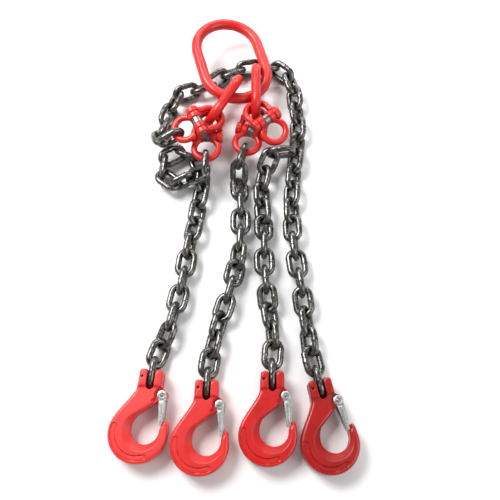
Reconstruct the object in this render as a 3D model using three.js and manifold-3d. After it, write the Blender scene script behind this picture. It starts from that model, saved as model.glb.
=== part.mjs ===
// Four leg chain sling, laid out flat with its legs folded under the master link.
// Millimetres, +Z up, the floor at z = 0, the hooks towards -Y.
import * as THREE from "three";
import { mergeVertices } from "three/addons/utils/BufferGeometryUtils.js";
import Module from "manifold-3d";

const wasm = await Module();
wasm.setup();

const deg = THREE.MathUtils.degToRad;
const vec = (x, y, z = 0) => new THREE.Vector3(x, y, z);

// ---- Chain -------------------------------------------------------------------------------
const WIRE = 8; // chain wire diameter
const PITCH = 24; // inside length of one link
const LINK_INSIDE_WIDTH = 10.8;
const LINK_SIDES = 6; // flats round the wire
const BEARING = 0.5; // how far joined links sink into each other where they bear
const JOINT_GAP = 0.4; // clearance where one run hangs in the next

// ---- Head rings --------------------------------------------------------------------------
const MASTER = { width: 72, length: 112, bar: 15, endSteps: 8, sides: 10 };
const INTERMEDIATE = { width: 28, length: 60, bar: 13, endSteps: 7, sides: 8 };

// ---- Connecting links: two forked halves on a load pin ---------------------------------------
const HALF_BAR = 9;
const HALF_RADIUS = 16; // bow centreline
const HALF_REACH = 18; // pin centre to the centre of the bow
const EYE_RADIUS = 9;
const EYE_WIDTH = 8;
const OUTER_EYE_X = 16.7; // eyes of the upper half
const INNER_EYE_X = 8.4; // eyes of the lower half
const LOAD_PIN_RADIUS = 5;
const SLEEVE_RADIUS = 7.5;
const FIT = 0.3; // running clearance

// ---- Clevis sling hook, about its clevis pin, the chain leaving towards +Y ----------------------
const HOOK_HALF = 11; // half thickness of the forging
const EAR_HALF = 13.3; // half thickness at the clevis ears
const EAR_X = 13.8;
const EAR_TOP = 9.5;
const EAR_CORNER = 3;
const SLOT_HALF = 4.6;
const SLOT_BOTTOM = -13.6;
const HOOK_PIN_RADIUS = 4.5;
const BOWL = { x: 1.5, y: -57.4, r: 16.8 };
const BACK = { x: -6, y: -62.6, r: 33.5 };
const TIP_Y = -46.5;
const PIVOT = { x: 15.6, y: -18.4 }; // latch pin
const BOSS_RADIUS = 6.3;
const BOSS_HALF = 6;
const SWING_ROOM = { x: 9.4, y: -27.2, r: 5.2 };
const LATCH_PIN_RADIUS = 2.2;
const LATCH_SHEET = 1.6;
const LATCH_END = -53;
const KEEPER_X = -10; // retaining pin, in the left ear
const KEEPER_RADIUS = 1.5;
const CLEVIS_Z = 13.7; // height of the clevis pin over the floor

// ---- Solids ------------------------------------------------------------------------------
function solid(geometry) {
  const plain = geometry.clone();
  plain.deleteAttribute("normal");
  plain.deleteAttribute("uv");
  const merged = mergeVertices(plain, 1e-4);
  return new wasm.Manifold(
    new wasm.Mesh({
      numProp: 3,
      vertProperties: merged.attributes.position.array,
      triVerts: new Uint32Array(merged.index.array),
    }),
  );
}

function geometryOf(manifold) {
  const mesh = manifold.getMesh();
  const geometry = new THREE.BufferGeometry();
  geometry.setAttribute("position", new THREE.BufferAttribute(mesh.vertProperties, 3));
  geometry.setIndex(new THREE.BufferAttribute(mesh.triVerts, 1));
  const flat = geometry.toNonIndexed();
  flat.computeVertexNormals();
  return flat;
}

const joined = (parts) => geometryOf(wasm.Manifold.union(parts.map(solid)));
const cutFrom = (base, cutters) =>
  geometryOf(wasm.Manifold.union(base.map(solid)).subtract(wasm.Manifold.union(cutters.map(solid))));

// A cylinder along x, y or z.
function rod(axis, radius, length, segments = 16) {
  const geometry = new THREE.CylinderGeometry(radius, radius, length, segments);
  if (axis === "x") geometry.rotateZ(Math.PI / 2);
  if (axis === "z") geometry.rotateX(Math.PI / 2);
  return geometry;
}

// The racetrack centreline of a link: long axis on Y, in the XY plane.
class LinkPath extends THREE.Curve {
  constructor(insideWidth, insideLength, bar, endSteps) {
    super();
    this.radius = (insideWidth + bar) / 2;
    this.half = (insideLength + bar) / 2 - this.radius;
    this.endSteps = endSteps;
  }

  place(t) {
    const n = this.endSteps;
    const k = (t * (2 * n + 2)) % (2 * n + 2);
    const lower = k >= n + 1;
    const step = Math.min(lower ? k - n - 1 : k, n);
    const straight = (lower ? k - n - 1 : k) - step;
    return { angle: (step / n) * Math.PI + (lower ? Math.PI : 0), lower, straight };
  }

  getPoint(t) {
    const { angle, lower, straight } = this.place(t);
    const side = lower ? -1 : 1;
    const y = side * this.half * (1 - 2 * straight);
    return vec(this.radius * Math.cos(angle), y + this.radius * Math.sin(angle));
  }

  getPointAt(t) {
    return this.getPoint(t);
  }

  getTangentAt(t) {
    const { angle } = this.place(t);
    return vec(-Math.sin(angle), Math.cos(angle));
  }
}

function ring({ width, length, bar }, endSteps, sides) {
  const path = new LinkPath(width, length, bar, endSteps);
  return new THREE.TubeGeometry(path, 2 * endSteps + 2, bar / 2, sides, true);
}

// ---- The group ---------------------------------------------------------------------------
const sling = new THREE.Group();
sling.name = "four_leg_chain_sling";

const RED = { color: 0xd3201f, roughness: 0.42, metalness: 0.1 };
const STEEL = { color: 0x3b3b38, roughness: 0.38, metalness: 0.9 };
const ZINC = { color: 0xc3c6c4, roughness: 0.35, metalness: 0.9 };
const BRIGHT = { color: 0x8f9290, roughness: 0.4, metalness: 0.9 };

function add(name, geometry, finish, matrix = new THREE.Matrix4()) {
  const mesh = new THREE.Mesh(geometry, new THREE.MeshStandardMaterial(finish));
  mesh.name = name;
  mesh.applyMatrix4(matrix);
  sling.add(mesh);
}

// A frame at a point whose Y axis runs along `along` and whose Z axis is as near `up` as it can be.
function frameAt(origin, along, up = vec(0, 0, 1)) {
  const y = along.clone().normalize();
  const x = y.clone().cross(up).normalize();
  const z = x.clone().cross(y);
  return new THREE.Matrix4().makeBasis(x, y, z).setPosition(origin);
}

// ---- Chain legs --------------------------------------------------------------------------
// Walks a curve in `count` equal chords and returns the points where links bear on each other.
function bearings(curve, count) {
  const SAMPLES = 1600;
  const points = curve.getSpacedPoints(SAMPLES);
  const walk = (chord) => {
    const found = [points[0]];
    let i = 0;
    while (found.length <= count) {
      const last = found[found.length - 1];
      while (i < SAMPLES && points[i].distanceTo(last) < chord) i++;
      if (i >= SAMPLES) return { found, short: true };
      const from = points[i - 1];
      const reach = points[i].distanceTo(last) - from.distanceTo(last);
      found.push(from.clone().lerp(points[i], (chord - from.distanceTo(last)) / reach));
    }
    return { found, short: false };
  };
  let low = PITCH * 0.8;
  let high = PITCH * 1.2;
  for (let n = 0; n < 40; n++) {
    const middle = (low + high) / 2;
    if (walk(middle).short) high = middle;
    else low = middle;
  }
  return walk(low).found;
}

// Link rolls along a leg: the first stands on edge in its clevis, and the next lies across it.
// `twist` holds [link number, extra roll in degrees] between which the extra roll eases.
function rollOf(k, twist) {
  const next = twist.findIndex(([n]) => n > k);
  const [n1, a1] = next < 0 ? twist[twist.length - 1] : twist[next];
  const [n0, a0] = next < 0 ? [n1, a1] : twist[next - 1];
  const extra = next < 0 ? a1 : THREE.MathUtils.lerp(a0, a1, (k - n0) / (n1 - n0));
  return deg((k % 2 === 0 ? 90 : 0) + extra);
}

// Lifts each bearing by what its two links need above the surface they lie on.
function settle(points, twist) {
  return points.map((p, k) => {
    const rolls = [rollOf(Math.max(k - 1, 0), twist), rollOf(Math.min(k, points.length - 2), twist)];
    const lift = Math.max(...rolls.map((roll) => Math.abs(Math.sin(roll))));
    return p.clone().setZ(p.z + WIRE / 2 + 0.3 + ((LINK_INSIDE_WIDTH + WIRE) / 2) * lift);
  });
}

// One run of a leg: links from `first` to `last`, sunk into each other where they bear.
function chainRun(points, twist, first, last) {
  const links = [];
  for (let k = first; k <= last; k++) {
    const start = points[k];
    const end = points[k + 1];
    const along = end.clone().sub(start).normalize();
    const trimStart = k === first ? -JOINT_GAP / 2 : BEARING / 2;
    const trimEnd = k === last ? -JOINT_GAP / 2 : BEARING / 2;
    const length = start.distanceTo(end) - trimStart - trimEnd;
    const middle = start.clone().addScaledVector(along, trimStart + length / 2);
    const geometry = chainLink(length);
    geometry.rotateY(rollOf(k, twist));
    geometry.applyMatrix4(frameAt(middle, along));
    links.push(geometry);
  }
  return links.length > 1 ? joined(links) : links[0];
}

// A link whose flats bear exactly `length` apart.
function chainLink(length) {
  const endSteps = 3;
  const flat = (WIRE / 2) * Math.cos(Math.PI / LINK_SIDES);
  const radius = (LINK_INSIDE_WIDTH + WIRE) / 2;
  const crown = (radius - flat) * Math.cos(Math.PI / (2 * endSteps));
  const inside = length - 2 * crown + 2 * radius - WIRE;
  return ring({ width: LINK_INSIDE_WIDTH, length: inside, bar: WIRE }, endSteps, LINK_SIDES);
}

// ---- Connecting link ---------------------------------------------------------------------
function halfLink(eyeX) {
  const turn = (n) => deg(-15 + (210 * n) / 8);
  const bow = Array.from({ length: 9 }, (_, n) =>
    vec(HALF_RADIUS * Math.cos(turn(n)), HALF_REACH + HALF_RADIUS * Math.sin(turn(n))),
  );
  const legs = (side) => [vec(side * eyeX, 0), vec(side * (eyeX + 0.5), 4)];
  const curve = new THREE.CatmullRomCurve3([...legs(1), ...bow, ...legs(-1).reverse()]);
  const section = new THREE.Shape().absarc(0, 0, HALF_BAR / 2, 0, 2 * Math.PI);
  const bar = new THREE.ExtrudeGeometry(section, { steps: 11, curveSegments: 3, extrudePath: curve });
  const eyes = [-eyeX, eyeX].map((x) => rod("x", EYE_RADIUS, EYE_WIDTH, 10).translate(x, 0, 0));
  const trim = EYE_RADIUS + FIT;
  const cutters = [rod("x", LOAD_PIN_RADIUS + FIT, 80, 10)];
  const room = new THREE.BoxGeometry(2 * (eyeX - EYE_WIDTH / 2), 2 * trim, 2 * trim);
  cutters.push(room);
  for (const side of [-1, 1]) {
    const beside = side * (eyeX + EYE_WIDTH / 2 + 15);
    cutters.push(new THREE.BoxGeometry(30, 2 * trim, 2 * trim).translate(beside, 0, 0));
  }
  return cutFrom([bar, ...eyes], cutters);
}

function connectingLink(number, { pin, upper, lower }) {
  const at = vec(...pin);
  const towards = vec(...upper).normalize();
  const away = vec(...lower).normalize();
  // The pin lies square to both halves.
  const axis = towards.clone().cross(vec(0, 0, 1)).normalize();
  const up = axis.clone().cross(towards);
  const upperFrame = frameAt(at, towards, up);
  const lowerDirection = away.addScaledVector(axis, -away.dot(axis)).normalize();
  const lowerFrame = frameAt(at, lowerDirection, axis.clone().negate().cross(lowerDirection));
  const name = (piece) => `connector_${number}_${piece}`;
  add(name("upper_half"), halfLink(OUTER_EYE_X), RED, upperFrame);
  add(name("lower_half"), halfLink(INNER_EYE_X), RED, lowerFrame);
  add(name("load_pin"), rod("x", LOAD_PIN_RADIUS, 2 * (OUTER_EYE_X + EYE_WIDTH / 2), 10), BRIGHT, upperFrame);
  const sleeve = cutFrom(
    [rod("x", SLEEVE_RADIUS, 2 * (INNER_EYE_X - EYE_WIDTH / 2 - FIT), 10)],
    [rod("x", LOAD_PIN_RADIUS + FIT, 40, 10)],
  );
  add(name("sleeve"), sleeve, BRIGHT, upperFrame);
  const bearing = HALF_REACH + HALF_RADIUS - HALF_BAR / 2 - 0.6;
  return { end: at.clone().addScaledVector(lowerDirection, bearing), away: lowerDirection };
}

// ---- Hook --------------------------------------------------------------------------------
function hookOutline() {
  const outline = new THREE.Shape();
  outline.moveTo(-EAR_X, EAR_TOP - EAR_CORNER);
  outline.quadraticCurveTo(-EAR_X, EAR_TOP, -EAR_X + EAR_CORNER, EAR_TOP);
  outline.lineTo(EAR_X - EAR_CORNER, EAR_TOP);
  outline.quadraticCurveTo(EAR_X, EAR_TOP, EAR_X, EAR_TOP - EAR_CORNER);
  outline.lineTo(EAR_X, -9);
  outline.absarc(PIVOT.x, PIVOT.y, BOSS_RADIUS, deg(60), deg(-110), true);
  outline.lineTo(BOWL.x - 0.75 * BOWL.r, BOWL.y + 14);
  outline.quadraticCurveTo(BOWL.x - BOWL.r, BOWL.y + 7, BOWL.x - BOWL.r, BOWL.y);
  outline.absarc(BOWL.x, BOWL.y, BOWL.r, Math.PI, 2 * Math.PI + 0.1, false);
  outline.lineTo(21, TIP_Y - 4);
  outline.quadraticCurveTo(21.6, TIP_Y, 24, TIP_Y);
  outline.quadraticCurveTo(26.8, TIP_Y - 1, 27.2, BOWL.y);
  outline.absarc(BACK.x, BACK.y, BACK.r, 0.13, -Math.PI, true);
  outline.bezierCurveTo(BACK.x - BACK.r, -44, -21, -30, -EAR_X, -12);
  return outline;
}

// The outline extruded evenly to both sides of z = 0; points that coincide are taken once.
function slab(shape, half, bevel, curveSegments = 8) {
  const points = shape.getPoints(curveSegments);
  const distinct = points.filter((p, i) => p.distanceTo(points[(i + 1) % points.length]) > 0.01);
  const settings = {
    depth: 2 * (half - bevel),
    bevelThickness: bevel,
    bevelSize: bevel,
    bevelOffset: -bevel,
    bevelSegments: 1,
    bevelEnabled: bevel > 0,
  };
  return new THREE.ExtrudeGeometry(new THREE.Shape(distinct), settings).translate(0, 0, -(half - bevel));
}

function hookBody() {
  const ears = new THREE.Shape();
  ears.moveTo(-EAR_X, -12);
  ears.lineTo(-EAR_X, EAR_TOP - EAR_CORNER);
  ears.quadraticCurveTo(-EAR_X, EAR_TOP, -EAR_X + EAR_CORNER, EAR_TOP);
  ears.lineTo(EAR_X - EAR_CORNER, EAR_TOP);
  ears.quadraticCurveTo(EAR_X, EAR_TOP, EAR_X, EAR_TOP - EAR_CORNER);
  ears.lineTo(EAR_X, -9);
  const slot = new THREE.Shape();
  slot.moveTo(SLOT_HALF, 20);
  slot.lineTo(-SLOT_HALF, 20);
  slot.lineTo(-SLOT_HALF, SLOT_BOTTOM + SLOT_HALF);
  slot.absarc(0, SLOT_BOTTOM + SLOT_HALF, SLOT_HALF, Math.PI, 2 * Math.PI, false);
  // Room beside the boss for the latch cheeks, and further down for their swing.
  const reliefs = [-1, 1].flatMap((side) => [
    rod("z", BOSS_RADIUS + 2.4, 20, 12).translate(PIVOT.x, PIVOT.y, side * (BOSS_HALF + 10)),
    rod("z", SWING_ROOM.r, 20, 8).translate(SWING_ROOM.x, SWING_ROOM.y, side * (BOSS_HALF + 10)),
  ]);
  return cutFrom(
    [slab(hookOutline(), HOOK_HALF, 1.2, 3), slab(ears, EAR_HALF, 1.5, 2)],
    [
      slab(slot, 30, 0, 4),
      rod("x", HOOK_PIN_RADIUS + FIT, 60, 14),
      rod("z", KEEPER_RADIUS + FIT, 60, 8).translate(KEEPER_X, 0, 0),
      rod("z", LATCH_PIN_RADIUS + FIT, 60, 12).translate(PIVOT.x, PIVOT.y, 0),
      ...reliefs,
    ],
  );
}

// A sheet channel: two tapered cheeks over the boss and a web down their outer edge.
function latch() {
  const cheek = new THREE.Shape();
  cheek.absarc(PIVOT.x, PIVOT.y, BOSS_RADIUS - 0.6, deg(235), deg(-20), true);
  cheek.lineTo(20.8, -43);
  cheek.lineTo(19.4, LATCH_END);
  cheek.lineTo(17, LATCH_END);
  const outer = BOSS_HALF + FIT + LATCH_SHEET;
  const web = new THREE.Shape();
  web.moveTo(PIVOT.x + 5.3, PIVOT.y - 7.2);
  web.lineTo(20.8, -43);
  web.lineTo(19.4, LATCH_END);
  web.lineTo(19.4 - LATCH_SHEET, LATCH_END);
  web.lineTo(20.8 - LATCH_SHEET, -43);
  web.lineTo(PIVOT.x + 5.3 - LATCH_SHEET, PIVOT.y - 7.2);
  const cheeks = [-1, 1].map((side) =>
    slab(cheek, LATCH_SHEET / 2, 0, 5).translate(0, 0, side * (outer - LATCH_SHEET / 2)),
  );
  return cutFrom(
    [...cheeks, slab(web, outer, 0)],
    [rod("z", LATCH_PIN_RADIUS + FIT, 60, 12).translate(PIVOT.x, PIVOT.y, 0)],
  );
}

function hook(number, frame) {
  const name = (piece) => `hook_${number}_${piece}`;
  const keeper = [KEEPER_X, 0, 0];
  const pin = cutFrom(
    [rod("x", HOOK_PIN_RADIUS, 2 * EAR_X - 1, 14)],
    [rod("z", KEEPER_RADIUS + FIT, 60, 8).translate(...keeper)],
  );
  const latchPinLength = 2 * (BOSS_HALF + FIT + LATCH_SHEET) + 1.6;
  add(name("body"), hookBody(), RED, frame);
  add(name("clevis_pin"), pin, BRIGHT, frame);
  add(name("retaining_pin"), rod("z", KEEPER_RADIUS, 2 * EAR_HALF - 1, 8).translate(...keeper), STEEL, frame);
  add(name("latch"), latch(), ZINC, frame);
  const rivet = rod("z", LATCH_PIN_RADIUS, latchPinLength, 12).translate(PIVOT.x, PIVOT.y, 0);
  add(name("latch_pin"), rivet, STEEL, frame);
}

// ---- Layout ------------------------------------------------------------------------------
const CONNECTORS = {
  1: { pin: [-68.6, 160, 50.4], upper: [0.87, 0.43, -0.2], lower: [-0.62, -0.76, -0.25] },
  2: { pin: [-57, 148.5, 32.5], upper: [0.03, 1, 0.08], lower: [0.02, -1, 0] },
  3: { pin: [1.5, 161.5, 22.6], upper: [0.3, 0.95, 0.05], lower: [-0.3, -0.95, 0.05] },
  4: { pin: [20.9, 167.1, 43], upper: [-0.6, 0.78, -0.2], lower: [0.62, -0.78, -0.25] },
};

// Each leg runs from its hook, turned by `turn` degrees, along `route` to its connecting link.
// A third number is the height of what the chain lies on there.
const LEGS = [
  {
    hook: { at: [-115, -166], turn: -6 },
    connector: 2,
    links: 20,
    split: 5,
    twist: [[0, 0], [1, 30], [3, 85], [4, 90], [6, 90], [9, 45], [19, 90]],
    route: [
      [-108, -130], [-99, -109], [-93, -88], [-83, -40], [-80, -18], [-72, 26], [-66, 68], [-62, 92],
      [-64, 112], [-74, 128], [-92, 136], [-112, 128], [-120, 108], [-104, 88], [-86, 87, 3], [-70, 102, 10],
    ],
  },
  {
    hook: { at: [-50, -178], turn: -1 },
    connector: 3,
    links: 14,
    split: 10,
    twist: [[0, 0], [2, 40], [5, 90], [7, 135], [8, 180], [10, 180], [13, 270]],
    route: [[-47, -138], [-38, -100], [-31, -78], [-25, -57], [-15, -15], [-12, 31], [-13, 65], [-15, 95]],
  },
  {
    hook: { at: [26, -168], turn: 0 },
    connector: 4,
    links: 14,
    split: 7,
    twist: [[0, 0], [1, 0], [3, 45], [5, 90], [7, 90], [9, 135], [11, 130], [13, 90]],
    route: [
      [28, -134], [27, -111], [21, -65], [18, -20], [18, 26], [15, 73], [16, 95], [22, 112, 6], [30, 127, 14],
    ],
  },
  {
    hook: { at: [82, -177], turn: 13 },
    connector: 1,
    links: 30,
    split: 6,
    twist: [[0, 0], [2, 40], [5, 90], [6, 90], [9, 45], [26, 45], [29, 90]],
    route: [
      [74, -144], [69, -99], [63, -53], [57, -6], [54, 41], [56, 86], [61, 125], [66, 165], [64, 205],
      [60, 240], [50, 264], [30, 275], [5, 272], [-20, 268], [-42, 257], [-60, 240], [-80, 234], [-102, 226],
      [-110, 205], [-116, 182], [-121, 162, 8],
    ],
  },
];

// The head rings: centre, direction of the long axis, and the roll of the ring's plane about it.
const HEAD = {
  master_link: { ...MASTER, centre: [-25.5, 266, 37], along: [-0.27, 0.963], roll: -8 },
  intermediate_link_left: { ...INTERMEDIATE, centre: [-36, 200, 38], along: [0.506, 0.862], roll: 68 },
  intermediate_link_right: { ...INTERMEDIATE, centre: [8, 217.6, 29.5], along: [0, 1], roll: 90 },
};

for (const [name, { centre, along, roll, ...size }] of Object.entries(HEAD)) {
  const rolled = new THREE.Matrix4().makeRotationY(deg(-roll));
  const frame = frameAt(vec(...centre), vec(...along)).multiply(rolled);
  add(name, ring(size, size.endSteps, size.sides), RED, frame);
}

const bows = {};
for (const [number, placed] of Object.entries(CONNECTORS)) bows[number] = connectingLink(number, placed);

LEGS.forEach(({ hook: { at, turn }, connector, links, split, twist, route }, index) => {
  const number = index + 1;
  const frame = new THREE.Matrix4().makeRotationZ(deg(turn)).setPosition(...at, CLEVIS_Z);
  hook(number, frame);
  const out = vec(0, 1, 0).applyAxisAngle(vec(0, 0, 1), deg(turn));
  const start = vec(...at).addScaledVector(out, -HOOK_PIN_RADIUS - 0.2);
  const { end, away } = bows[connector];
  const last = end.clone().setZ(end.z - CLEVIS_Z);
  const curve = new THREE.CatmullRomCurve3(
    [
      start,
      start.clone().addScaledVector(out, PITCH),
      ...route.map((p) => vec(...p)),
      last.clone().addScaledVector(away, PITCH),
      last,
    ],
    false,
    "centripetal",
  );
  const settled = settle(bearings(curve, links), twist);
  add(`leg_${number}_chain_lower`, chainRun(settled, twist, 0, split - 1), STEEL);
  add(`leg_${number}_chain_upper`, chainRun(settled, twist, split, links - 1), STEEL);
});

// The origin is on the floor under the middle of the sling.
const box = new THREE.Box3().setFromObject(sling, true);
const middle = box.getCenter(vec(0, 0, 0));
sling.position.set(-middle.x, -middle.y, -box.min.z);

export default sling;
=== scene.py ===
"""Looks of the four leg chain sling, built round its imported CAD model.

Local shapes are in millimetres and are scaled to metres when they are placed.
"""

import math

import bpy
import numpy as np
from mathutils import Matrix, Vector


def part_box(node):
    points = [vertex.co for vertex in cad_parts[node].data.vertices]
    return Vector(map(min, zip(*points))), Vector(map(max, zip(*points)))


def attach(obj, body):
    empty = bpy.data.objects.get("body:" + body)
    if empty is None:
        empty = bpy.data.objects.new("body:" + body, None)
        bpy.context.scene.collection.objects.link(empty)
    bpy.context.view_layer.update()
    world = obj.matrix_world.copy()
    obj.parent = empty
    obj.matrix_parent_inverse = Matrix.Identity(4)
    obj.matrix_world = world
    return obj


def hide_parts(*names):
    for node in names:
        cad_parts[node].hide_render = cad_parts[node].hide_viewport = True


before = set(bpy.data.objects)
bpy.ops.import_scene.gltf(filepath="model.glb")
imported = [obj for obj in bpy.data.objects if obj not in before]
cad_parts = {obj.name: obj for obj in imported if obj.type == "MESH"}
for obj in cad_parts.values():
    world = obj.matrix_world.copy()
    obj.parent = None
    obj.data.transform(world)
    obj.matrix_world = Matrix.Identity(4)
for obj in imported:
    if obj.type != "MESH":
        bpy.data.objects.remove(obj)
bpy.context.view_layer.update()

MM = 0.001
UP = Vector((0, 0, 1))

# ---- Driving dimensions, as in the CAD ------------------------------------------------------
WIRE = 8.0
PITCH = 24.0
LINK_INSIDE_WIDTH = 10.8
SETTLE_GAP = 0.3

HALF_BAR = 9.0
HALF_RADIUS = 16.0
HALF_REACH = 18.0
EYE_RADIUS = 9.0
EYE_WIDTH = 8.0
OUTER_EYE_X = 16.7
INNER_EYE_X = 8.4
CROWN_GAP = 0.6
LOAD_PIN_RADIUS = 5.0
SLEEVE_RADIUS = 7.5

HOOK_HALF = 11.0
EAR_HALF = 13.3
EAR_X = 13.8
EAR_TOP = 9.5
SLOT_HALF = 4.6
SLOT_BOTTOM = -13.6
HOOK_PIN_RADIUS = 4.5
BOWL = (1.5, -57.4, 16.8)
BACK = (-6.0, -62.6, 33.5)
THROAT_FOOT = (BOWL[0] - 0.75 * BOWL[2], BOWL[1] + 14)
TIP_Y = -46.5
PIVOT = (15.6, -18.4)
BOSS_RADIUS = 6.3
BOSS_HALF = 6.0
LATCH_PIN_RADIUS = 2.2
LATCH_SHEET = 1.6
LATCH_END = -53.0
KEEPER_X = -10.0
KEEPER_RADIUS = 1.5
SWING_ROOM = (9.4, -27.2)
SWING_ROOM_RADIUS = 5.2
CLEVIS_Z = 13.7
FIT = 0.3

MASTER = {"width": 72, "length": 112, "bar": 15}
INTERMEDIATE = {"width": 28, "length": 60, "bar": 13}

# ---- Detail beyond the CAD ------------------------------------------------------------------
FACET_BULGE = 0.35  # how far a true round bar would stand past the CAD's flat facets
CROWN_SWELL = 0.15
PIN_PLAY = 0.2
EAR_CORNER = 4.6
EAR_INNER_CORNER = 3.0
HOOK_RIM = 3.4
EAR_RIM = 3.2
PANEL = (24.4, 30.8)
PANEL_SPAN = (168, 294)
PANEL_DEPTH = 1.3
PANEL_GROOVE = 1.1
GROOVE_SPAN = (170, 292)
GROOVE_DEPTH = 2.1
THROAT_GROOVE = 1.3
LATCH_SHOULDER = (21.4, -43)
LATCH_TOE = (19.6, LATCH_END)
PAST = 30  # far enough for a cutter to reach past the hook

# ---- Layout, as in the CAD ------------------------------------------------------------------
RINGS = {
    "master_link": (MASTER, (-25.5, 266, 37), (-0.27, 0.963, 0), -8, "master"),
    "intermediate_link_left": (INTERMEDIATE, (-36, 200, 38), (0.506, 0.862, 0), 68, "laid_sling"),
    "intermediate_link_right": (INTERMEDIATE, (8, 217.6, 29.5), (0, 1, 0), 90, "laid_sling"),
}
CONNECTORS = {
    1: ((-68.6, 160, 50.4), (0.87, 0.43, -0.2), (-0.62, -0.76, -0.25)),
    2: ((-57, 148.5, 32.5), (0.03, 1, 0.08), (0.02, -1, 0)),
    3: ((1.5, 161.5, 22.6), (0.3, 0.95, 0.05), (-0.3, -0.95, 0.05)),
    4: ((20.9, 167.1, 43), (-0.6, 0.78, -0.2), (0.62, -0.78, -0.25)),
}
LEGS = {
    1: {
        "hook": ((-115, -166), -6),
        "connector": 2,
        "links": 20,
        "split": 5,
        "twist": [(0, 0), (1, 30), (3, 85), (4, 90), (6, 90), (9, 45), (19, 90)],
        "route": [
            (-108, -130), (-99, -109), (-93, -88), (-83, -40), (-80, -18), (-72, 26), (-66, 68),
            (-62, 92), (-64, 112), (-74, 128), (-92, 136), (-112, 128), (-120, 108), (-104, 88),
            (-86, 87, 3), (-70, 102, 10),
        ],
    },
    2: {
        "hook": ((-50, -178), -1),
        "connector": 3,
        "links": 14,
        "split": 10,
        "twist": [(0, 0), (2, 40), (5, 90), (7, 135), (8, 180), (10, 180), (13, 270)],
        "route": [
            (-47, -138), (-38, -100), (-31, -78), (-25, -57), (-15, -15), (-12, 31), (-13, 65),
            (-15, 95),
        ],
    },
    3: {
        "hook": ((26, -168), 0),
        "connector": 4,
        "links": 14,
        "split": 7,
        "twist": [(0, 0), (1, 0), (3, 45), (5, 90), (7, 90), (9, 135), (11, 130), (13, 90)],
        "route": [
            (28, -134), (27, -111), (21, -65), (18, -20), (18, 26), (15, 73), (16, 95),
            (22, 112, 6), (30, 127, 14),
        ],
    },
    4: {
        "hook": ((82, -177), 13),
        "connector": 1,
        "links": 30,
        "split": 6,
        "twist": [(0, 0), (2, 40), (5, 90), (6, 90), (9, 45), (26, 45), (29, 90)],
        "route": [
            (74, -144), (69, -99), (63, -53), (57, -6), (54, 41), (56, 86), (61, 125), (66, 165),
            (64, 205), (60, 240), (50, 264), (30, 275), (5, 272), (-20, 268), (-42, 257),
            (-60, 240), (-80, 234), (-102, 226), (-110, 205), (-116, 182), (-121, 162, 8),
        ],
    },
}

# The CAD puts its origin under the middle of the sling: the third hook's latch pin shows by how much.
pin_low, pin_high = (Vector(corner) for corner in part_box("hook_3_latch_pin"))
hook_3_at = LEGS[3]["hook"][0]
SHIFT = (pin_low + pin_high) / 2 / MM - Vector(
    (hook_3_at[0] + PIVOT[0], hook_3_at[1] + PIVOT[1], CLEVIS_Z)
)


# ---- Camera ---------------------------------------------------------------------------------
TILT = math.radians(20)
DISTANCE = 775.5
camera_data = bpy.data.cameras.new("camera")
camera_data.lens = 43.2
camera_data.sensor_width = 36
camera_data.clip_start = 0.01
camera = bpy.data.objects.new("camera", camera_data)
camera.location = (SHIFT + Vector((0, -DISTANCE * math.sin(TILT), DISTANCE * math.cos(TILT)))) * MM
camera.rotation_euler = (TILT, 0, 0)
bpy.context.scene.collection.objects.link(camera)
bpy.context.scene.camera = camera


# ---- Materials ------------------------------------------------------------------------------
def new_material(name):
    material = bpy.data.materials.new(name)
    material.use_nodes = True
    tree = material.node_tree
    shader = tree.nodes["Principled BSDF"]
    coords = tree.nodes.new("ShaderNodeTexCoord").outputs["Object"]
    return material, tree, shader, coords


def noise(tree, coords, per_mm, detail=3.0, rough=0.55):
    node = tree.nodes.new("ShaderNodeTexNoise")
    node.inputs["Scale"].default_value = per_mm / MM
    node.inputs["Detail"].default_value = detail
    node.inputs["Roughness"].default_value = rough
    tree.links.new(coords, node.inputs["Vector"])
    return node.outputs["Fac"]


def ramp(tree, value, stops):
    node = tree.nodes.new("ShaderNodeValToRGB")
    elements = node.color_ramp.elements
    while len(elements) < len(stops):
        elements.new(0.5)
    for element, (place, colour) in zip(elements, stops):
        element.position = place
        grey = (colour,) * 3 if isinstance(colour, (int, float)) else colour
        element.color = (*grey, 1)
    tree.links.new(value, node.inputs["Fac"])
    return node.outputs["Color"]


def mix(tree, factor, a, b):
    node = tree.nodes.new("ShaderNodeMix")
    node.data_type = "RGBA"
    for socket, value in ((node.inputs[0], factor), (node.inputs[6], a), (node.inputs[7], b)):
        if isinstance(value, bpy.types.NodeSocket):
            tree.links.new(value, socket)
        elif socket is node.inputs[0]:
            socket.default_value = value
        else:
            socket.default_value = (*value, 1)
    return node.outputs[2]


def bump(tree, shader, *layers):
    """Each layer is (height, strength, depth in mm); they stack from the coarsest to the finest."""
    normal = None
    for height, strength, depth in layers:
        node = tree.nodes.new("ShaderNodeBump")
        node.inputs["Strength"].default_value = strength
        node.inputs["Distance"].default_value = depth * MM
        tree.links.new(height, node.inputs["Height"])
        if normal is not None:
            tree.links.new(normal, node.inputs["Normal"])
        normal = node.outputs["Normal"]
    tree.links.new(normal, shader.inputs["Normal"])


def red_coat(name, red, shade, gloss=0.36):
    """Powder coat over a forging: orange peel, faint cloudiness and uneven gloss."""
    material, tree, shader, coords = new_material(name)
    cloud = ramp(tree, noise(tree, coords, 0.03), [(0.35, red), (0.7, shade)])
    tree.links.new(cloud, shader.inputs["Base Color"])
    rough = ramp(tree, noise(tree, coords, 0.12, 4), [(0.3, gloss - 0.07), (0.75, gloss + 0.1)])
    tree.links.new(rough, shader.inputs["Roughness"])
    shader.inputs["Coat Weight"].default_value = 0.12
    shader.inputs["Coat Roughness"].default_value = 0.16
    bump(
        tree,
        shader,
        (noise(tree, coords, 0.14, 2), 0.35, 0.5),
        (noise(tree, coords, 0.9, 2), 0.22, 0.12),
    )
    return material


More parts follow.
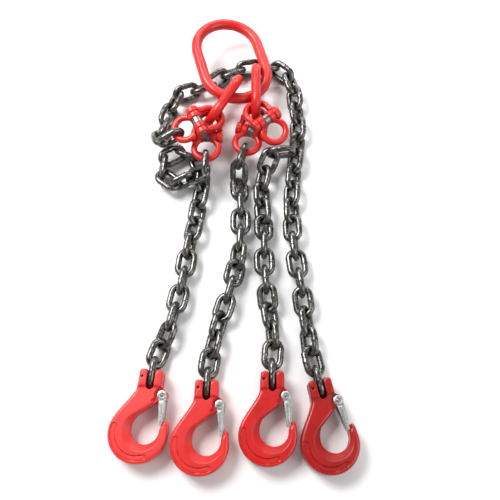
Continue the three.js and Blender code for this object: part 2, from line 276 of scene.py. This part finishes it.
def steel(name, dark, light, rough, scale=0.15, metal=1.0, brown=None):
    """Bare or oiled steel: tone patches, worn lighter spots and fine scale."""
    material, tree, shader, coords = new_material(name)
    tone = ramp(tree, noise(tree, coords, scale, 5), [(0.35, dark), (0.68, light)])
    if brown:
        patch = ramp(tree, noise(tree, coords, scale * 0.5, 3), [(0.5, 0.0), (0.62, 0.6)])
        tone = mix(tree, patch, tone, brown)
    tree.links.new(tone, shader.inputs["Base Color"])
    gloss = ramp(tree, noise(tree, coords, scale * 2, 4), [(0.3, rough - 0.08), (0.7, rough + 0.14)])
    tree.links.new(gloss, shader.inputs["Roughness"])
    shader.inputs["Metallic"].default_value = metal
    bump(
        tree,
        shader,
        (noise(tree, coords, 0.25, 4), 0.3, 0.35),
        (noise(tree, coords, 1.6, 3), 0.2, 0.08),
    )
    return material


# The four hooks wear one red coat, but their reds are painted light: hooks 1 and 2 are lighter as a painted
# wash of light from the left, and the reds darken towards hook 4 as painted shade.
COATS = {
    "head": red_coat("red_coat_head", (0.64, 0.009, 0.006), (0.50, 0.005, 0.004)),
    1: red_coat("red_coat_hook_1", (0.76, 0.038, 0.034), (0.64, 0.022, 0.020), 0.42),
    2: red_coat("red_coat_hook_2", (0.68, 0.022, 0.019), (0.56, 0.013, 0.011), 0.4),
    3: red_coat("red_coat_hook_3", (0.55, 0.008, 0.007), (0.42, 0.005, 0.004), 0.36),
    4: red_coat("red_coat_hook_4", (0.37, 0.004, 0.004), (0.26, 0.002, 0.002), 0.34),
}
CHAIN_STEEL = steel(
    "oiled_chain_steel", (0.085, 0.087, 0.083), (0.25, 0.25, 0.24), 0.27, brown=(0.14, 0.12, 0.095)
)
PIN_STEEL = steel("pin_steel", (0.16, 0.16, 0.155), (0.34, 0.34, 0.33), 0.34)
ZINC = steel("zinc_sheet", (0.40, 0.41, 0.40), (0.60, 0.61, 0.60), 0.33, 0.3, 0.85)


# ---- Meshes ---------------------------------------------------------------------------------
def mesh_object(name, vertices, faces):
    mesh = bpy.data.meshes.new(name)
    mesh.from_pydata([tuple(v) for v in vertices], [], faces)
    mesh.update()
    made = bpy.data.objects.new(name, mesh)
    bpy.context.scene.collection.objects.link(made)
    return made


def remove(made):
    bpy.data.objects.remove(made, do_unlink=True)


def apply_modifiers(made):
    bpy.context.view_layer.update()
    evaluated = made.evaluated_get(bpy.context.evaluated_depsgraph_get())
    mesh = bpy.data.meshes.new_from_object(evaluated)
    made.modifiers.clear()
    made.data = mesh
    return made


def planar_tube(path, radii, sides, closed):
    """Vertices and faces of a round bar along a path in the XY plane."""
    path = np.asarray(path, float)
    count = len(path)
    if closed:
        ahead, behind = np.roll(path, -1, 0), np.roll(path, 1, 0)
    else:
        ahead = np.vstack([path[1:], path[-1:]])
        behind = np.vstack([path[:1], path[:-1]])
    tangent = ahead - behind
    tangent /= np.linalg.norm(tangent, axis=1)[:, None]
    across = np.stack([tangent[:, 1], -tangent[:, 0]], 1)
    angle = np.arange(sides) * 2 * math.pi / sides
    radii = np.broadcast_to(radii, count)[:, None]
    ring_xy = path[:, None, :] + (radii * np.cos(angle))[:, :, None] * across[:, None, :]
    ring_z = radii * np.sin(angle)
    vertices = np.concatenate([ring_xy, ring_z[:, :, None]], 2).reshape(-1, 3)
    faces = []
    for i in range(count if closed else count - 1):
        j = (i + 1) % count
        for k in range(sides):
            m = (k + 1) % sides
            faces.append((i * sides + k, j * sides + k, j * sides + m, i * sides + m))
    if not closed:
        faces.append(tuple(range(sides)))
        faces.append(tuple((count - 1) * sides + k for k in reversed(range(sides))))
    return vertices, faces


def racetrack(width, length, bar, end_steps, side_steps):
    """The centreline of a link of the given inside width and length."""
    radius = (width + bar) / 2
    half = (length + bar) / 2 - radius
    points = []
    for end in (0, 1):
        for n in range(end_steps + 1):
            a = math.pi * (end + n / end_steps)
            y = half if end == 0 else -half
            points.append((radius * math.cos(a), y + radius * math.sin(a)))
        for n in range(1, side_steps):
            y = half * (1 - 2 * n / side_steps)
            points.append((-radius, y) if end == 0 else (radius, -y))
    return np.array(points)


def welded_bar(path, bar, bead, bead_width):
    """Radii of a bar that swells at the weld in the middle of its left side."""
    left = path[:, 0] < 0
    along = np.where(left, np.abs(path[:, 1]), 1e3)
    return bar / 2 + bead * np.exp(-((along / bead_width) ** 2))


def frame_at(origin, along, up=UP):
    y = Vector(along).normalized()
    x = y.cross(up).normalized()
    z = x.cross(y)
    turn = Matrix((x, y, z)).transposed().to_4x4()
    return Matrix.Translation(Vector(origin)) @ turn


def in_metres(matrix):
    return Matrix.Scale(MM, 4) @ Matrix.Translation(SHIFT) @ matrix


def finish_piece(made, body, node, material, matrix=None, smooth_angle=40):
    if matrix is not None:
        made.data.transform(in_metres(matrix))
    made.data.materials.clear()
    made.data.materials.append(material)
    made.data.shade_smooth()
    made.data.set_sharp_from_angle(angle=math.radians(smooth_angle))
    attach(made, body)
    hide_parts(node)
    return made


def copy_of(made, name):
    twin = bpy.data.objects.new(name, made.data.copy())
    bpy.context.scene.collection.objects.link(twin)
    return twin


# ---- Rings ----------------------------------------------------------------------------------
for ring_name, (size, centre, along, roll, body) in RINGS.items():
    track = racetrack(size["width"], size["length"], size["bar"], 36, 16)
    bar = planar_tube(track, welded_bar(track, size["bar"] - 0.3, 0.35, 2.2), 36, True)
    ring_object = mesh_object("coated_" + ring_name, *bar)
    place = frame_at(centre, along) @ Matrix.Rotation(math.radians(-roll), 4, "Y")
    finish_piece(ring_object, body, ring_name, COATS["head"], place)


# ---- Chain ----------------------------------------------------------------------------------
def catmull_rom(points, per_span=60):
    """A dense centripetal Catmull-Rom curve through the points."""
    points = np.array(points, float)
    ends = [2 * points[0] - points[1]], [2 * points[-1] - points[-2]]
    padded = np.vstack([ends[0], points, ends[1]])
    dense = []
    for i in range(len(points) - 1):
        p0, p1, p2, p3 = padded[i : i + 4]
        d0, d1, d2 = (math.sqrt(np.linalg.norm(b - a)) for a, b in ((p0, p1), (p1, p2), (p2, p3)))
        t1 = ((p1 - p0) / d0 - (p2 - p0) / (d0 + d1) + (p2 - p1) / d1) * d1
        t2 = ((p2 - p1) / d1 - (p3 - p1) / (d1 + d2) + (p3 - p2) / d2) * d1
        for n in range(per_span):
            t = n / per_span
            dense.append(
                p1 + t1 * t + (3 * (p2 - p1) - 2 * t1 - t2) * t**2 + (2 * (p1 - p2) + t1 + t2) * t**3
            )
    dense.append(points[-1])
    return np.array(dense)


def equal_chords(dense, count):
    """The points of `count` equal chords along a dense curve."""

    def walk(chord):
        found, i = [dense[0]], 0
        while len(found) <= count:
            last = found[-1]
            while i < len(dense) and np.linalg.norm(dense[i] - last) < chord:
                i += 1
            if i >= len(dense):
                return None
            before, after = (np.linalg.norm(dense[n] - last) for n in (i - 1, i))
            share = (chord - before) / (after - before)
            found.append(dense[i - 1] * (1 - share) + dense[i] * share)
        return found

    low, high = PITCH * 0.8, PITCH * 1.2
    for _ in range(30):
        middle = (low + high) / 2
        if walk(middle) is None:
            high = middle
        else:
            low = middle
    return walk(low), low


def roll_of(k, twist):
    """Every other link stands across its neighbours; twist adds an extra roll that eases along the leg."""
    links, extras = zip(*twist)
    return math.radians((90 if k % 2 == 0 else 0) + float(np.interp(k, links, extras)))


def settled(points, twist):
    """The points between links, raised so that the links on both sides lie on the floor."""
    lifted = []
    for k, point in enumerate(points):
        rolls = [roll_of(max(k - 1, 0), twist), roll_of(min(k, len(points) - 2), twist)]
        lift = max(abs(math.sin(roll)) for roll in rolls)
        height = WIRE / 2 + SETTLE_GAP + (LINK_INSIDE_WIDTH + WIRE) / 2 * lift
        lifted.append(Vector(point) + height * UP)
    return lifted


def chain_run(name, points, twist, first, last, chord):
    """Separate round links from `first` to `last`, as one piece."""
    track = racetrack(LINK_INSIDE_WIDTH, chord + 0.15, WIRE, 12, 10)
    vertices, faces = planar_tube(track, welded_bar(track, WIRE - 0.1, 0.4, 1.3), 16, True)
    local = np.hstack([vertices, np.ones((len(vertices), 1))])
    all_vertices, all_faces = [], []
    for k in range(first, last + 1):
        start, end = points[k], points[k + 1]
        place = frame_at((start + end) / 2, end - start)
        place = in_metres(place @ Matrix.Rotation(roll_of(k, twist), 4, "Y"))
        base = len(all_vertices) * len(vertices)
        all_vertices.append(local @ np.array(place).T[:, :3])
        all_faces += [tuple(base + v for v in face) for face in faces]
    return mesh_object(name, np.vstack(all_vertices), all_faces)


def connector_frames(number):
    """The frames of a connecting link's two halves, about its load pin."""
    pin, upper, lower = CONNECTORS[number]
    towards = Vector(upper).normalized()
    axis = towards.cross(UP).normalized()
    away = Vector(lower).normalized()
    away = (away - axis * away.dot(axis)).normalized()
    return frame_at(pin, towards, axis.cross(towards)), frame_at(pin, away, (-axis).cross(away)), away


def leg_points(number):
    """Where each link of a leg meets the next, from the hook to the connector, and the chord used."""
    leg = LEGS[number]
    (x, y), turn = leg["hook"]
    out = Matrix.Rotation(math.radians(turn), 3, "Z") @ Vector((0, 1, 0))
    start = Vector((x, y, 0)) - out * (HOOK_PIN_RADIUS + 0.2)
    away = connector_frames(leg["connector"])[2]
    reach = HALF_REACH + HALF_RADIUS - HALF_BAR / 2 - CROWN_GAP
    last = Vector(CONNECTORS[leg["connector"]][0]) + away * reach - CLEVIS_Z * UP
    route = [Vector((*p, 0)[:3]) for p in leg["route"]]
    curve = catmull_rom([start, start + out * PITCH, *route, last + away * PITCH, last])
    points, chord = equal_chords(curve, leg["links"])
    return settled(points, leg["twist"]), chord


for number, leg in LEGS.items():
    bearings, chord = leg_points(number)
    runs = {"lower": (0, leg["split"] - 1), "upper": (leg["split"], leg["links"] - 1)}
    for part, (first, last) in runs.items():
        links = chain_run(f"links_{number}_{part}", bearings, leg["twist"], first, last, chord)
        body = f"leg_{number}_lower" if part == "lower" else "laid_sling"
        finish_piece(links, body, f"leg_{number}_chain_{part}", CHAIN_STEEL)


# ---- Solids by voxels -----------------------------------------------------------------------
def prism(name, outline, low, high):
    """An outline, anticlockwise, extruded from low to high."""
    count = len(outline)
    vertices = [(x, y, z) for z in (low, high) for x, y in outline]
    faces = [tuple(reversed(range(count))), tuple(range(count, 2 * count))]
    faces += [(i, (i + 1) % count, count + (i + 1) % count, count + i) for i in range(count)]
    return mesh_object(name, vertices, faces)


def turned(name, stations, centre=(0, 0), steps=32, axis="z"):
    """A turned solid from (along, radius) stations; centre gives its other two coordinates."""
    vertices, faces = [], []
    for along, radius in stations:
        for n in range(steps):
            a = 2 * math.pi * n / steps
            u, v = centre[0] + radius * math.cos(a), centre[1] + radius * math.sin(a)
            vertices.append((along, u, v) if axis == "x" else (u, v, along))
    for s in range(len(stations) - 1):
        for n in range(steps):
            m = (n + 1) % steps
            faces.append((s * steps + n, s * steps + m, (s + 1) * steps + m, (s + 1) * steps + n))
    faces.append(tuple(reversed(range(steps))))
    faces.append(tuple(range(len(vertices) - steps, len(vertices))))
    return mesh_object(name, vertices, faces)


def rod(name, axis, radius, low, high, centre=(0, 0), chamfer=0.0):
    """A rod along axis from low to high, with chamfered rims if asked."""
    stations = [(low, radius), (high, radius)]
    if chamfer:
        stations = [
            (low, radius - chamfer),
            (low + chamfer, radius),
            (high - chamfer, radius),
            (high, radius - chamfer),
        ]
    return turned(name, stations, centre, axis=axis)


def join(name, parts):
    """One object holding the meshes of all the parts."""
    vertices, faces = [], []
    for part in parts:
        base = len(vertices)
        vertices += [v.co.copy() for v in part.data.vertices]
        faces += [tuple(base + v for v in polygon.vertices) for polygon in part.data.polygons]
        remove(part)
    return mesh_object(name, vertices, faces)


def forged(name, parts, cutters, voxel, softness):
    """Parts fused into one skin, cut, and softened like a forging."""
    made = join(name, parts)
    add_remesh(made, voxel)
    apply_modifiers(made)
    if cutters:
        tool = join(name + "_tool", cutters)
        cut = made.modifiers.new("cut", "BOOLEAN")
        cut.operation = "DIFFERENCE"
        cut.solver = "EXACT"
        cut.use_self = True
        cut.object = tool
        apply_modifiers(made)
        remove(tool)
    add_remesh(made, voxel)
    smooth = made.modifiers.new("soften", "SMOOTH")
    smooth.factor = 0.5
    smooth.iterations = softness
    return apply_modifiers(made)


def add_remesh(made, voxel):
    remesh = made.modifiers.new("fuse", "REMESH")
    remesh.mode = "VOXEL"
    remesh.voxel_size = voxel


def arc(cx, cy, r, start, end, steps):
    angles = np.radians(np.linspace(start, end, steps + 1))
    return [(cx + r * math.cos(a), cy + r * math.sin(a)) for a in angles]


def bezier(points, steps):
    """A quadratic or cubic Bezier curve, without its last point."""
    made = []
    for n in range(steps):
        row, t = [Vector(p) for p in points], n / steps
        while len(row) > 1:
            row = [a.lerp(b, t) for a, b in zip(row, row[1:])]
        made.append(tuple(row[0]))
    return made


def rounded_slab(name, outline, half, edge, steps=4):
    """An outline extruded to z = -half..half whose rims are rounded by `edge`."""
    curve = bpy.data.curves.new(name, "CURVE")
    curve.dimensions = "2D"
    curve.fill_mode = "BOTH"
    spline = curve.splines.new("POLY")
    spline.points.add(len(outline) - 1)
    for point, (x, y) in zip(spline.points, outline):
        point.co = (x, y, 0, 1)
    spline.use_cyclic_u = True
    curve.extrude = half - edge
    curve.bevel_depth = edge
    curve.bevel_resolution = steps
    curve.offset = -edge
    shape = bpy.data.objects.new(name, curve)
    bpy.context.scene.collection.objects.link(shape)
    bpy.context.view_layer.update()
    mesh = bpy.data.meshes.new_from_object(shape.evaluated_get(bpy.context.evaluated_depsgraph_get()))
    made = bpy.data.objects.new(name, mesh)
    bpy.context.scene.collection.objects.link(made)
    remove(shape)
    return made


# ---- Connecting links -----------------------------------------------------------------------
def half_link(name, eye_x):
    """Half of a connecting link: a bow with two eyes, at eye_x either side of the middle."""
    bow = arc(0, HALF_REACH, HALF_RADIUS, -15, 195, 28)
    path = [(eye_x, 0), (eye_x + 0.2, 2), (eye_x + 0.5, 5), (eye_x * 0.4 + 0.6 * bow[0][0], 9), *bow]
    path += [(-x, y) for x, y in reversed(path[:4])]
    spread = np.array([abs(y - HALF_REACH - HALF_RADIUS) for _, y in path])
    radii = HALF_BAR / 2 - FACET_BULGE + CROWN_SWELL * np.exp(-((spread / 8) ** 2))
    parts = [mesh_object("bow", *planar_tube(path, radii, 24, False))]
    for side in (-1, 1):
        ends = sorted((side * eye_x - EYE_WIDTH / 2, side * eye_x + EYE_WIDTH / 2))
        parts.append(rod("eye", "x", EYE_RADIUS - FACET_BULGE, *ends, chamfer=0.9))
    room = EYE_RADIUS + FIT
    inner = eye_x - EYE_WIDTH / 2
    outer = eye_x + EYE_WIDTH / 2
    cutters = [rod("bore", "x", LOAD_PIN_RADIUS + 0.15, -40, 40)]
    square = [(-1, -room), (1, -room), (1, room), (-1, room)]
    for low, high in ((-inner, inner), (outer, outer + 20), (-outer - 20, -outer)):
        block = prism("room", [(low if x < 0 else high, y) for x, y in square], -room, room)
        cutters.append(block)
    return forged(name, parts, cutters, 0.55, 5)


outer_half = half_link("outer_half", OUTER_EYE_X)
inner_half = half_link("inner_half", INNER_EYE_X)
for number in CONNECTORS:
    upper_frame, lower_frame, _ = connector_frames(number)
    prefix = f"connector_{number}_"
    upper = copy_of(outer_half, f"coated_{prefix}upper")
    finish_piece(
        upper, f"connector_{number}_upper", prefix + "upper_half", COATS["head"], upper_frame
    )
    lower = copy_of(inner_half, f"coated_{prefix}lower")
    finish_piece(lower, "laid_sling", prefix + "lower_half", COATS["head"], lower_frame)
    reach = OUTER_EYE_X + EYE_WIDTH / 2
    pin = rod(f"turned_{prefix}pin", "x", LOAD_PIN_RADIUS, -reach, reach, chamfer=0.7)
    finish_piece(pin, "laid_sling", prefix + "load_pin", PIN_STEEL, upper_frame)
    reach = INNER_EYE_X - EYE_WIDTH / 2 - FIT
    sleeve = rod(f"turned_{prefix}sleeve", "x", SLEEVE_RADIUS, -reach, reach, chamfer=0.5)
    finish_piece(sleeve, "laid_sling", prefix + "sleeve", PIN_STEEL, upper_frame)
remove(outer_half)
remove(inner_half)


# ---- Hooks ----------------------------------------------------------------------------------
def ear_tops():
    """The rounded tops of both clevis ears, left to right, with a step across the slot."""
    step = EAR_TOP - EAR_INNER_CORNER
    left = bezier([(-EAR_X, EAR_TOP - EAR_CORNER), (-EAR_X, EAR_TOP), (-EAR_X + EAR_CORNER, EAR_TOP)], 5)
    left += bezier([(-SLOT_HALF - EAR_INNER_CORNER, EAR_TOP), (-SLOT_HALF, EAR_TOP), (-SLOT_HALF, step)], 5)
    return left + [(-x, y) for x, y in reversed(left)]


def hook_outline():
    """The hook seen from its side: ears, latch boss, throat, bowl, tip and back."""
    bowl_x, bowl_y, bowl_r = BOWL
    back_x, back_y, back_r = BACK
    outline = ear_tops() + [(EAR_X, -9)]
    outline += arc(*PIVOT, BOSS_RADIUS, 60, -110, 14)
    outline += bezier([THROAT_FOOT, (bowl_x - bowl_r, bowl_y + 7), (bowl_x - bowl_r, bowl_y)], 6)
    outline += arc(bowl_x, bowl_y, bowl_r, 180, 366, 36)
    outline += bezier([(21, TIP_Y - 4), (21.6, TIP_Y), (24, TIP_Y)], 4)
    outline += bezier([(24, TIP_Y), (26.8, TIP_Y - 1), (27.2, bowl_y)], 6)
    outline += arc(back_x, back_y, back_r, 8, -180, 60)[:-1]
    outline += bezier([(back_x - back_r, back_y), (back_x - back_r, -44), (-21, -30), (-EAR_X, -12)], 20)
    return outline[::-1]


def ear_outline():
    """The thicker block that the two clevis ears are cut from."""
    outline = [(-EAR_X, -12)] + ear_tops() + [(EAR_X, -10)]
    return outline[::-1]


def panel_outline(inner, outer, start, end):
    """A band with round ends, bent round the outside of the lower body."""
    x, y, _ = BACK
    middle, half_width = (inner + outer) / 2, (outer - inner) / 2
    outline = arc(x, y, outer, start, end, 30)
    tip = (x + middle * math.cos(math.radians(end)), y + middle * math.sin(math.radians(end)))
    outline += arc(*tip, half_width, end, end + 180, 8)[1:-1]
    outline += arc(x, y, inner, end, start, 30)
    tail = (x + middle * math.cos(math.radians(start)), y + middle * math.sin(math.radians(start)))
    outline += arc(*tail, half_width, start + 180, start + 360, 8)[1:-1]
    return outline


def throat_groove():
    """A narrow groove beside the straight throat edge."""
    top = Vector((PIVOT[0] - 8.5, PIVOT[1] - 8.2))
    bottom = Vector(THROAT_FOOT) + Vector((-1.2, 3.4))
    side = Vector((-(bottom - top).y, (bottom - top).x)).normalized() * THROAT_GROOVE / 2
    corners = [top + side, bottom + side, bottom - side, top - side]
    return [tuple(c) for c in corners]


def hook_body():
    """The forging, with its slot, bores, hollowed bowl, panel, throat groove and room for the latch."""
    parts = [
        rounded_slab("forging", hook_outline(), HOOK_HALF, HOOK_RIM),
        rounded_slab("ears", ear_outline(), EAR_HALF, EAR_RIM),
    ]
    slot = [(SLOT_HALF, PAST), (-SLOT_HALF, PAST), (-SLOT_HALF, SLOT_BOTTOM + SLOT_HALF)]
    slot += arc(0, SLOT_BOTTOM + SLOT_HALF, SLOT_HALF, 180, 360, 12)[1:]
    cutters = [
        prism("slot", slot, -PAST, PAST),
        rod("pin_bore", "x", HOOK_PIN_RADIUS + PIN_PLAY, -PAST, PAST),
        rod("keeper_bore", "z", KEEPER_RADIUS + PIN_PLAY, -PAST, PAST, (KEEPER_X, 0)),
        rod("latch_bore", "z", LATCH_PIN_RADIUS + PIN_PLAY, -PAST, PAST, PIVOT),
    ]
    for side in (-1, 1):
        face = side * HOOK_HALF
        bowl_relief = sorted([(side * 3.5, 13.2), (face + side, 23.4)])
        cutters.append(turned("bowl_relief", bowl_relief, (-1.2, -60.2), 64))
        low, high = sorted((face - PANEL_DEPTH * side, face + 5 * side))
        cutters.append(prism("panel", panel_outline(*PANEL, *PANEL_SPAN), low, high))
        cutters.append(prism("groove", throat_groove(), low, high))
        low, high = sorted((face - GROOVE_DEPTH * side, face + 5 * side))
        for radius in (PANEL[0], PANEL[1] - PANEL_GROOVE):
            edge = panel_outline(radius, radius + PANEL_GROOVE, *GROOVE_SPAN)
            cutters.append(prism("panel_edge", edge, low, high))
        low, high = sorted((side * BOSS_HALF, side * PAST))
        cutters.append(rod("boss_relief", "z", BOSS_RADIUS + 2.4, low, high, PIVOT))
        cutters.append(rod("swing_relief", "z", SWING_ROOM_RADIUS, low, high, SWING_ROOM))
    return forged("hook_forging", parts, cutters, 0.5, 4)


def latch_sheet():
    """A pressed channel: two tapered cheeks, a web down their outer edge, and a raised boss."""
    outer = BOSS_HALF + FIT + LATCH_SHEET
    cheek = arc(*PIVOT, BOSS_RADIUS - 0.6, 235, -20, 20)
    cheek += [LATCH_SHOULDER, LATCH_TOE, (LATCH_TOE[0] - 3, LATCH_END)]
    web = [(PIVOT[0] + 5.3, PIVOT[1] - 7.2), LATCH_SHOULDER, LATCH_TOE]
    web += [(x - LATCH_SHEET, y) for x, y in reversed(web)]
    parts = [prism("web", web[::-1], -outer, outer)]
    rib = [(14.6, -26), (18.2, -26), (18.9, -47), (17.9, -47)]
    for side in (-1, 1):
        low, high = sorted((side * (outer - LATCH_SHEET), side * outer))
        parts.append(prism("cheek", cheek[::-1], low, high))
        low, high = sorted((side * (outer - 0.5), side * (outer + 0.55)))
        parts.append(rod("boss", "z", 4.4, low, high, PIVOT, chamfer=0.25))
        parts.append(prism("rib", rib[::-1], low, high))
    cutters = [rod("hole", "z", LATCH_PIN_RADIUS + 0.1, -30, 30, PIVOT)]
    return forged("latch_sheet", parts, cutters, 0.3, 3)


def rivet(name):
    """The latch pin with its two domed heads."""
    reach = BOSS_HALF + FIT + LATCH_SHEET + 0.8
    profile = [(-reach, 0.9), (-reach + 0.35, 1.7), (-reach + 0.8, LATCH_PIN_RADIUS)]
    profile += [(-z, r) for z, r in reversed(profile)]
    return turned(name, profile, PIVOT, 24)


forging = hook_body()
sheet = latch_sheet()
for number, leg in LEGS.items():
    (x, y), turn = leg["hook"]
    place = Matrix.Translation(Vector((x, y, CLEVIS_Z))) @ Matrix.Rotation(math.radians(turn), 4, "Z")
    prefix = f"hook_{number}_"
    body = f"hook_{number}"
    coated = copy_of(forging, f"coated_{prefix}body")
    finish_piece(coated, body, prefix + "body", COATS[number], place)
    zinc = copy_of(sheet, f"pressed_{prefix}latch")
    finish_piece(zinc, body + "_latch", prefix + "latch", ZINC, place)
    pin = rod(f"turned_{prefix}pin", "x", HOOK_PIN_RADIUS, -EAR_X + 0.5, EAR_X - 0.5, chamfer=0.6)
    finish_piece(pin, body, prefix + "clevis_pin", PIN_STEEL, place)
    reach = EAR_HALF - 2.6
    keeper = rod(f"rolled_{prefix}keeper", "z", KEEPER_RADIUS, -reach, reach, (KEEPER_X, 0), chamfer=0.3)
    finish_piece(keeper, body, prefix + "retaining_pin", CHAIN_STEEL, place)
    finish_piece(rivet(f"domed_{prefix}rivet"), body, prefix + "latch_pin", PIN_STEEL, place)
remove(forging)
remove(sheet)


# ---- Stage ----------------------------------------------------------------------------------
FLOOR_Z = -0.0006
FLOOR_HALF = 40
floor_corners = [(x * FLOOR_HALF, y * FLOOR_HALF, FLOOR_Z) for x, y in ((-1, -1), (1, -1), (1, 1), (-1, 1))]
floor = mesh_object("floor", floor_corners, [(0, 1, 2, 3)])
floor_material, floor_tree, floor_shader, floor_coords = new_material("pale_floor")
floor_tone = ramp(floor_tree, noise(floor_tree, floor_coords, 0.004), [(0.3, 0.90), (0.7, 0.93)])
floor_tree.links.new(floor_tone, floor_shader.inputs["Base Color"])
floor_shader.inputs["Roughness"].default_value = 0.8
floor.data.materials.append(floor_material)


def soft_light(name, place, target, size, watts):
    data = bpy.data.lights.new(name, "AREA")
    data.shape = "RECTANGLE"
    data.size, data.size_y = size
    data.energy = watts
    light = bpy.data.objects.new(name, data)
    light.location = place
    light.rotation_euler = (Vector(target) - Vector(place)).to_track_quat("-Z", "Y").to_euler()
    bpy.context.scene.collection.objects.link(light)


soft_light("key", (-0.75, 0.55, 1.25), (0, 0, 0), (0.7, 0.7), 28)
soft_light("fill", (1.2, -0.5, 1.2), (0, 0, 0), (1.1, 1.1), 11)
soft_light("strip", (0.2, 1.3, 0.8), (0, 0, 0), (1.4, 0.16), 11)

world = bpy.data.worlds.new("studio")
world.use_nodes = True
bpy.context.scene.world = world
world_tree = world.node_tree
height = world_tree.nodes.new("ShaderNodeSeparateXYZ")
world_tree.links.new(world_tree.nodes.new("ShaderNodeTexCoord").outputs["Generated"], height.inputs[0])
sky = ramp(world_tree, height.outputs["Z"], [(0.0, 1.0), (0.35, 0.8), (1.0, 0.35)])
background = world_tree.nodes["Background"]
world_tree.links.new(sky, background.inputs["Color"])
background.inputs["Strength"].default_value = 0.55
bpy.context.scene.view_settings.view_transform = "Standard"
